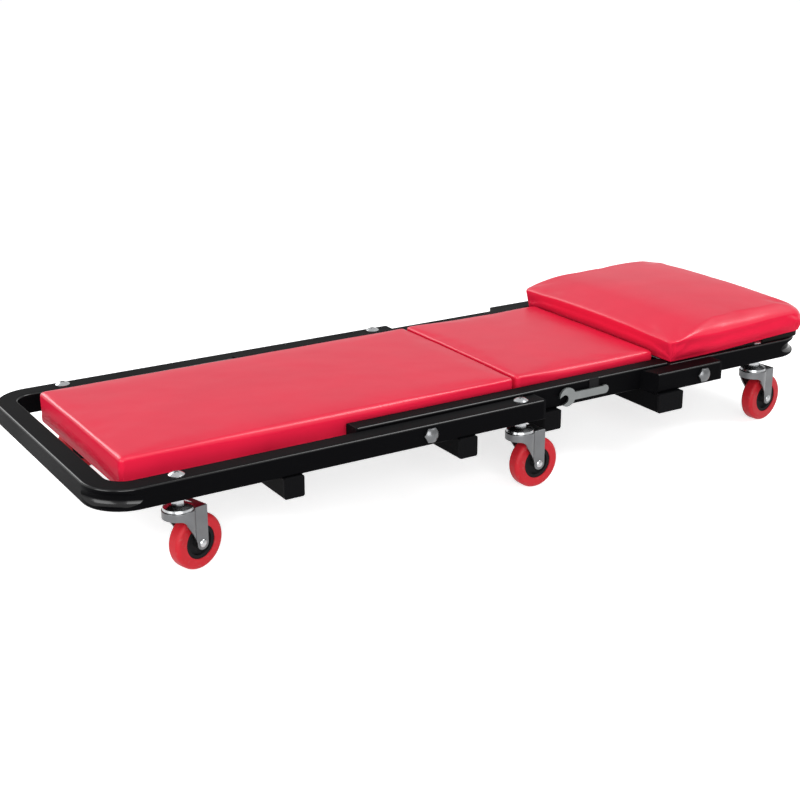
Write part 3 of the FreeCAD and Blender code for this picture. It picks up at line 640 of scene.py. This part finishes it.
class CREEPER_OT_wheels(bpy.types.Operator):
    """Finish the cast treads and the moulded hubs"""

    bl_idname = "creeper.wheels"
    bl_label = "Wheels"

    def execute(self, context):
        colours = context.scene.creeper_colours
        paint(tread_rubber(colours), *[name + "_tread" for name in CASTERS])
        paint(moulded("hub_plastic", colours.plastic, 0.45), *[name + "_hub" for name in CASTERS])
        return {"FINISHED"}


class CREEPER_OT_pads(bpy.types.Operator):
    """Upholster the back, middle and head pads on their boards"""

    bl_idname = "creeper.pads"
    bl_label = "Pads"

    def execute(self, context):
        sizes = context.scene.creeper_sizes
        colours = context.scene.creeper_colours
        cover = vinyl(colours)
        # The boards' near-black colour is partly painted shade for the gap under the lifted head pad.
        paint(plywood(colours), "back_pad_board", "middle_pad_board", "head_pad_board")
        for pad in (self.back(sizes), self.middle(sizes), self.head(sizes)):
            upholster(pad, sizes, cover)
        return {"FINISHED"}

    @staticmethod
    def back(sizes):
        heights = ((0.0, 0.0365), (0.5, 0.0375), (1.0, 0.0365))
        rounds = (sizes.edge_round, sizes.side_round, sizes.meeting_round)
        return Pad("back_pad", "base", corners=(0.005, 0.005), rounds=rounds, heights=heights,
                   across=0.0015, leans=both_sides(0.0012, 0.0075, 0.0325))

    @staticmethod
    def middle(sizes):
        heights = ((0.0, 0.037), (0.5, 0.0365), (1.0, 0.035))
        rounds = (sizes.meeting_round, sizes.side_round, sizes.edge_round)
        return Pad("middle_pad", "middle", corners=(0.005, 0.005), rounds=rounds, heights=heights,
                   across=0.0015, leans=both_sides(0.0012, 0.0075, 0.0325))

    @staticmethod
    def head(sizes):
        heights = ((0.0, 0.0285), (0.22, 0.0402), (0.53, 0.044), (0.8, 0.0442), (1.0, 0.0402))
        rounds = (sizes.edge_round, 0.8 * sizes.head_round, sizes.head_round)
        overhang = (Vector((-1, 0)), 0.005, 0.0045, 0.0285)
        end_tuck = (Vector((1, 0)), -0.0022, 0.014, 0.0)
        side_tucks = both_sides(-0.0045, 0.015, 0.0)
        shoulders = both_sides(0.004, 0.0195, 0.0315)
        return Pad("head_pad", "head", corners=(0.006, 0.018), rounds=rounds, heights=heights,
                   across=0.0055, leans=(overhang, end_tuck) + side_tucks + shoulders, lift=0.007)


class CREEPER_OT_welds(bpy.types.Operator):
    """Run weld beads where the cross bars meet the rails"""

    bl_idname = "creeper.welds"
    bl_label = "Weld beads"

    def execute(self, context):
        radius = context.scene.creeper_sizes.weld_radius
        coat = bpy.data.materials["black_powder_coat"]
        for bar, body in (("base_foot_bar", "base"), ("base_stop_bar", "base"),
                          ("middle_bar", "middle"), ("seat_stop_bar", "middle")):
            low, high = (Vector(point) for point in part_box(bar))
            rail, width = RAILS[body]
            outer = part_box(rail)[1][1]
            for side in (1, -1):
                for face, x in (("foot", low.x), ("head", high.x)):
                    start = Vector((x, side * (outer - width + WELD_MARGIN), high.z))
                    end = Vector((x, side * (min(outer, high.y) - WELD_MARGIN), high.z))
                    word = "left" if side > 0 else "right"
                    bead(f"{bar}_weld_{face}_{word}", start, end, radius, coat, body)
        return {"FINISHED"}


class CREEPER_OT_stage(bpy.types.Operator):
    """Set up the white studio, the soft lights and the camera"""

    bl_idname = "creeper.stage"
    bl_label = "Studio"

    def execute(self, context):
        scene = context.scene
        scene.view_settings.view_transform = "Standard"
        self.world(scene)
        self.floor(scene)
        for light in LIGHTS:
            self.light(scene, *light)
        camera = bpy.data.objects.new("camera", bpy.data.cameras.new("camera"))
        camera.data.sensor_width = 36.0
        camera.data.lens = 66.33
        camera.location = (-0.97326, -1.50225, 0.69139)
        aim = Vector((-0.1009, -0.09435, 0.1125)) - camera.location
        camera.rotation_euler = aim.to_track_quat("-Z", "Y").to_euler()
        scene.collection.objects.link(camera)
        scene.camera = camera
        return {"FINISHED"}

    @staticmethod
    def world(scene):
        world = bpy.data.worlds.new("studio")
        world.use_nodes = True
        world.node_tree.nodes.clear()
        sky = Nodes(world.node_tree)
        white = (1.0, 1.0, 1.0, 1.0)
        lit = sky.node("ShaderNodeBackground", {}, {"Color": white, "Strength": 0.38})
        shown = sky.node("ShaderNodeBackground", {}, {"Color": white, "Strength": 1.0})
        both = sky.node("ShaderNodeMixShader", {}, {0: sky.seen(), 1: lit, 2: shown})
        sky.node("ShaderNodeOutputWorld", {}, {"Surface": both})
        scene.world = world

    @staticmethod
    def floor(scene):
        mesh = bpy.data.meshes.new("floor")
        size = 12.0
        mesh.from_pydata([(-size, -size, 0), (size, -size, 0), (size, size, 0), (-size, size, 0)],
                         [], [(0, 1, 2, 3)])
        floor = bpy.data.objects.new("floor", mesh)
        scene.collection.objects.link(floor)
        material = bpy.data.materials.new("studio_floor")
        material.use_nodes = True
        material.node_tree.nodes.clear()
        ground = Nodes(material.node_tree)
        matt = ground.node("ShaderNodeBsdfDiffuse", {}, {"Color": (0.8, 0.8, 0.8, 1.0)})
        glow = ground.node("ShaderNodeEmission", {}, {"Strength": 0.7})
        bright = ground.node("ShaderNodeAddShader", {}, {0: matt, 1: glow})
        both = ground.node("ShaderNodeMixShader", {}, {0: ground.seen(), 1: matt, 2: bright})
        ground.node("ShaderNodeOutputMaterial", {}, {"Surface": both})
        mesh.materials.append(material)

    @staticmethod
    def light(scene, name, place, aim, size, power):
        data = bpy.data.lights.new(name, "AREA")
        data.size = size
        data.energy = power
        lamp = bpy.data.objects.new(name, data)
        lamp.location = place
        lamp.rotation_euler = (Vector(aim) - Vector(place)).to_track_quat("-Z", "Y").to_euler()
        scene.collection.objects.link(lamp)


class CREEPER_PT_panel(bpy.types.Panel):
    """Steps that dress the creeper"""

    bl_idname = "CREEPER_PT_panel"
    bl_label = "Creeper seat"
    bl_space_type = "VIEW_3D"
    bl_region_type = "UI"
    bl_category = "Creeper"

    def draw(self, context):
        for group in (context.scene.creeper_sizes, context.scene.creeper_colours):
            for name in group.__annotations__:
                self.layout.prop(group, name)
        for step in STEPS:
            self.layout.operator(step.bl_idname)


STEPS = (CREEPER_OT_stage, CREEPER_OT_frame, CREEPER_OT_hardware, CREEPER_OT_wheels,
         CREEPER_OT_pads, CREEPER_OT_welds)
CLASSES = (CreeperSizes, CreeperColours) + STEPS + (CREEPER_PT_panel,)


def register():
    for each in CLASSES:
        bpy.utils.register_class(each)
    bpy.types.Scene.creeper_sizes = PointerProperty(type=CreeperSizes)
    bpy.types.Scene.creeper_colours = PointerProperty(type=CreeperColours)


def unregister():
    del bpy.types.Scene.creeper_colours
    del bpy.types.Scene.creeper_sizes
    for each in reversed(CLASSES):
        bpy.utils.unregister_class(each)


def main():
    register()
    bpy.ops.creeper.stage()
    bpy.ops.creeper.frame()
    bpy.ops.creeper.hardware()
    bpy.ops.creeper.wheels()
    bpy.ops.creeper.pads()
    bpy.ops.creeper.welds()


if __name__ == "__main__":
    main()
